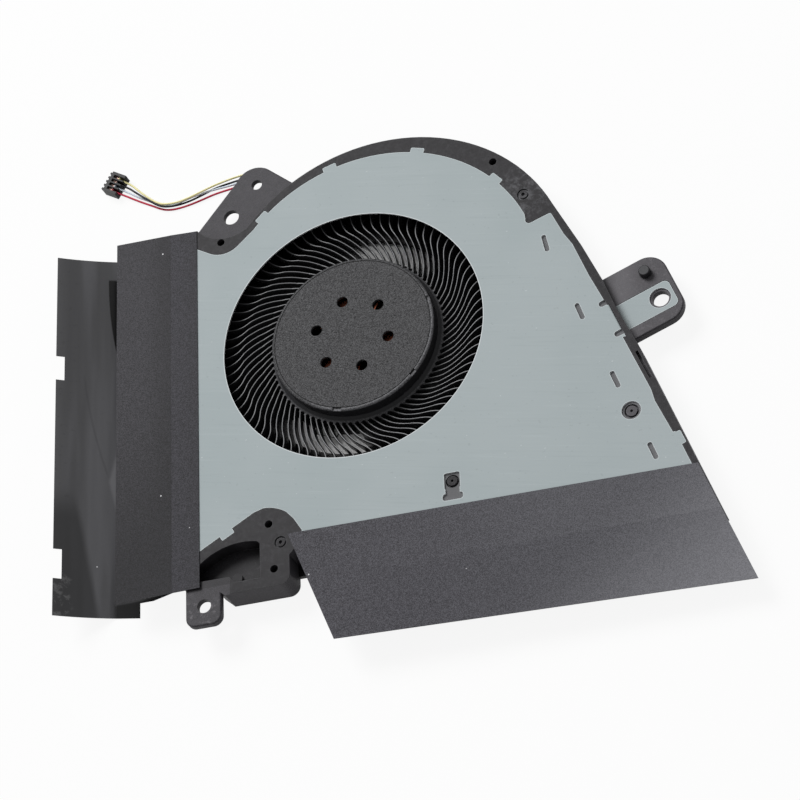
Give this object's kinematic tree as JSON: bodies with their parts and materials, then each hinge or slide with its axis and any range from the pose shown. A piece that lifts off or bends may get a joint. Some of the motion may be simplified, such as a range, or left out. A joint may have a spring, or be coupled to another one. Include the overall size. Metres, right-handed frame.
{
  "type": "laptop cooling fan",
  "caption": "Slim dual-outlet centrifugal fan for a laptop: black moulded case with screw lugs, grey sheet cover, fine S-bladed rotor, duct films, short leads with a plug",
  "frame": {"origin": "on the rotor's axis in the plane of the underside", "axes": "+Z along the rotor's axis, out of the inlet; +X towards the right lug's side, -X out of the left outlet; -Y out of the wide bottom outlet"},
  "size_m": [0.1465, 0.1258, 0.0072],
  "materials": {
    "housing_plastic": "moulded black plastic, fine matt grain",
    "cover_steel": "grey coated sheet, matt, bright cut edge",
    "rotor_plastic": "moulded black plastic, fine speckled grain",
    "yoke_steel": "plated steel",
    "magnet": "bonded ferrite",
    "bright_steel": "ground steel",
    "brass": "turned brass",
    "bronze": "sintered bronze, oil filled",
    "thrust_plastic": "bearing plastic",
    "lamination": "stacked electrical steel, lacquered",
    "copper": "enamelled copper wire",
    "board": "green solder mask on glass laminate",
    "chip": "moulded chip body",
    "ceramic": "ceramic with tinned ends",
    "matt_film": "black film, matt grain",
    "glossy_film": "black film, glossy, creased",
    "lead_yellow": "pale yellow insulation",
    "lead_black": "black insulation",
    "lead_white": "white insulation",
    "lead_red": "red insulation",
    "plug_plastic": "moulded black plastic",
    "tin": "tin-plated terminal"
  },
  "bodies": {
    "case": {"housing": "housing_plastic", "cover_plate": "cover_steel", "bearing_tube": "brass", "thrust_plate": "thrust_plastic", "retaining_washer": "thrust_plastic", "bearing_sleeve": "bronze", "stator_core": "lamination", "coil_1": "copper", "coil_2": "copper", "coil_3": "copper", "coil_4": "copper", "coil_5": "copper", "coil_6": "copper", "coil_7": "copper", "coil_8": "copper", "coil_9": "copper", "circuit_board": "board", "driver_chip": "chip", "hall_sensor": "chip", "capacitor_1": "ceramic", "capacitor_2": "ceramic", "resistor_1": "chip", "resistor_2": "chip", "film_left_upper": "matt_film", "film_left_lower": "glossy_film", "film_bottom": "matt_film", "lead_yellow": "lead_yellow", "lead_black": "lead_black", "lead_white": "lead_white", "lead_red": "lead_red", "plug_housing": "plug_plastic", "plug_terminal_1": "tin", "plug_terminal_2": "tin", "plug_terminal_3": "tin", "plug_terminal_4": "tin"},
    "rotor": {"impeller": "rotor_plastic", "rotor_yoke": "yoke_steel", "magnet_ring": "magnet", "shaft": "bright_steel"}
  },
  "joints": [
    {"name": "rotor_spin", "type": "hinge", "parent": "case", "child": "rotor", "pos_m": [0, 0, 0], "axis": [0, 0, 1], "continuous": true}
  ]
}
